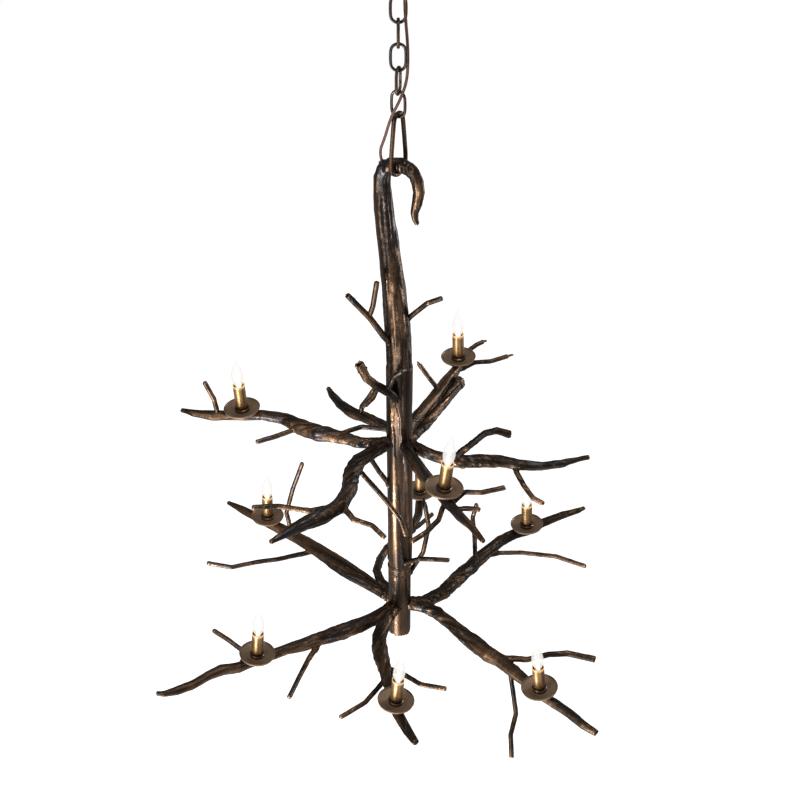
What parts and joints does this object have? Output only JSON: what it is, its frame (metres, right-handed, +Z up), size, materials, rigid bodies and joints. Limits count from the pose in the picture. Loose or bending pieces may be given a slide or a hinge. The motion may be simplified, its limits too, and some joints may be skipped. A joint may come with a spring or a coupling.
{
  "type": "branch chandelier",
  "caption": "Forged metal branch chandelier: a crook-topped trunk on a chain, two tiers of hammered twig arms, candle lights on drip pans, canopy and cord",
  "frame": {"origin": "centre of the canopy's ceiling face, between the two crossbar screw holes", "axes": "+Z up to the ceiling along the chain, +X to the right as pictured, -Y towards the viewer"},
  "size_m": [0.945, 0.8458, 1.6371],
  "materials": {
    "bronze_patina": "hammered steel with an antique bronze patina, copper showing on the high spots",
    "chain_bronze": "round wire with a worn bronze patina",
    "pan_copper": "spun dish with a lighter brown copper patina",
    "aged_brass": "aged brass, satin",
    "zinc_steel": "plain zinc-plated steel",
    "socket_black": "black moulded phenolic",
    "lead_insulation": "bundled insulated lamp leads",
    "cord_sheath": "brown braided cord",
    "lamp_glass": "clear blown glass flame bulb with a warm filament"
  },
  "bodies": {
    "ceiling": {"canopy": "bronze_patina", "canopy_collar_loop": "bronze_patina", "canopy_crossbar": "zinc_steel", "canopy_nipple": "zinc_steel", "canopy_locknut": "zinc_steel", "supply_cord": "cord_sheath"},
    "link_1": {"chain_link_1": "chain_bronze"},
    "link_2": {"chain_link_2": "chain_bronze"},
    "link_3": {"chain_link_3": "chain_bronze"},
    "link_4": {"chain_link_4": "chain_bronze"},
    "link_5": {"chain_link_5": "chain_bronze"},
    "link_6": {"chain_link_6": "chain_bronze"},
    "ring": {"hanging_ring": "chain_bronze"},
    "chandelier": {"crook_trunk": "bronze_patina", "lower_trunk": "bronze_patina", "trunk_bottom_cap": "bronze_patina", "trunk_twigs": "bronze_patina", "trunk_coupling": "zinc_steel", "wire_harness": "lead_insulation", "cord_bushing": "socket_black", "branch_upper_left": "bronze_patina", "branch_upper_front_left": "bronze_patina", "branch_upper_front": "bronze_patina", "branch_upper_right": "bronze_patina", "branch_upper_back": "bronze_patina", "branch_upper_back_left": "bronze_patina", "branch_lower_back_left": "bronze_patina", "branch_lower_back_right": "bronze_patina", "branch_lower_back": "bronze_patina", "branch_lower_front_left": "bronze_patina", "branch_lower_front": "bronze_patina", "branch_lower_front_right": "bronze_patina", "candle_stems": "zinc_steel", "seat_cups": "aged_brass", "candle_sleeves": "aged_brass", "lamp_sockets": "socket_black", "drip_pan_upper_left": "pan_copper", "drip_pan_upper_front": "pan_copper", "drip_pan_upper_back": "pan_copper", "drip_pan_lower_back_left": "pan_copper", "drip_pan_lower_back_right": "pan_copper", "drip_pan_lower_back": "pan_copper", "drip_pan_lower_front_left": "pan_copper", "drip_pan_lower_front": "pan_copper", "drip_pan_lower_front_right": "pan_copper"},
    "bulb_upper_left": {"bulb_upper_left": "lamp_glass"},
    "bulb_upper_front": {"bulb_upper_front": "lamp_glass"},
    "bulb_upper_back": {"bulb_upper_back": "lamp_glass"},
    "bulb_lower_back_left": {"bulb_lower_back_left": "lamp_glass"},
    "bulb_lower_back_right": {"bulb_lower_back_right": "lamp_glass"},
    "bulb_lower_back": {"bulb_lower_back": "lamp_glass"},
    "bulb_lower_front_left": {"bulb_lower_front_left": "lamp_glass"},
    "bulb_lower_front": {"bulb_lower_front": "lamp_glass"},
    "bulb_lower_front_right": {"bulb_lower_front_right": "lamp_glass"}
  },
  "joints": [
    {"name": "link_1_swing", "type": "hinge", "parent": "ceiling", "child": "link_1", "pos_m": [0, 0, -0.1005], "axis": [1, 0, 0], "range_deg": [-20, 20], "deforming": ["supply_cord"]},
    {"name": "link_2_swing", "type": "hinge", "parent": "link_1", "child": "link_2", "pos_m": [0, 0, -0.1437], "axis": [0, 1, 0], "range_deg": [-20, 20], "deforming": ["supply_cord"]},
    {"name": "link_3_swing", "type": "hinge", "parent": "link_2", "child": "link_3", "pos_m": [0, 0, -0.1869], "axis": [1, 0, 0], "range_deg": [-20, 20], "deforming": ["supply_cord"]},
    {"name": "link_4_swing", "type": "hinge", "parent": "link_3", "child": "link_4", "pos_m": [0, 0, -0.2301], "axis": [0, 1, 0], "range_deg": [-20, 20], "deforming": ["supply_cord"]},
    {"name": "link_5_swing", "type": "hinge", "parent": "link_4", "child": "link_5", "pos_m": [0, 0, -0.2733], "axis": [1, 0, 0], "range_deg": [-20, 20], "deforming": ["supply_cord"]},
    {"name": "link_6_swing", "type": "hinge", "parent": "link_5", "child": "link_6", "pos_m": [0, 0, -0.3165], "axis": [0.2588, 0.9659, 0], "range_deg": [-20, 20], "deforming": ["supply_cord"]},
    {"name": "ring_swing", "type": "hinge", "parent": "link_6", "child": "ring", "pos_m": [0, 0, -0.3597], "axis": [0.8829, -0.4695, 0], "range_deg": [-15, 15], "deforming": ["supply_cord"]},
    {"name": "crook_swing", "type": "hinge", "parent": "ring", "child": "chandelier", "pos_m": [0, 0, -0.4715], "axis": [0.5446, 0.8387, 0], "range_deg": [-15, 15], "deforming": ["supply_cord"]},
    {"name": "bulb_upper_left_lift", "type": "slide", "parent": "chandelier", "child": "bulb_upper_left", "axis": [-0.0593, 0, 0.9982], "range_m": [0, 0.03]},
    {"name": "bulb_upper_front_lift", "type": "slide", "parent": "chandelier", "child": "bulb_upper_front", "axis": [0.1045, 0, 0.9945], "range_m": [0, 0.03]},
    {"name": "bulb_upper_back_lift", "type": "slide", "parent": "chandelier", "child": "bulb_upper_back", "axis": [-0.0349, 0, 0.9994], "range_m": [0, 0.03]},
    {"name": "bulb_lower_back_left_lift", "type": "slide", "parent": "chandelier", "child": "bulb_lower_back_left", "axis": [0.0349, 0, 0.9994], "range_m": [0, 0.03]},
    {"name": "bulb_lower_back_right_lift", "type": "slide", "parent": "chandelier", "child": "bulb_lower_back_right", "axis": [-0.0489, 0, 0.9988], "range_m": [0, 0.03]},
    {"name": "bulb_lower_back_lift", "type": "slide", "parent": "chandelier", "child": "bulb_lower_back", "axis": [0, 0, 1], "range_m": [0, 0.03]},
    {"name": "bulb_lower_front_left_lift", "type": "slide", "parent": "chandelier", "child": "bulb_lower_front_left", "axis": [0.0837, 0, 0.9965], "range_m": [0, 0.03]},
    {"name": "bulb_lower_front_lift", "type": "slide", "parent": "chandelier", "child": "bulb_lower_front", "axis": [0.0872, 0, 0.9962], "range_m": [0, 0.03]},
    {"name": "bulb_lower_front_right_lift", "type": "slide", "parent": "chandelier", "child": "bulb_lower_front_right", "axis": [-0.1045, 0, 0.9945], "range_m": [0, 0.03]}
  ]
}
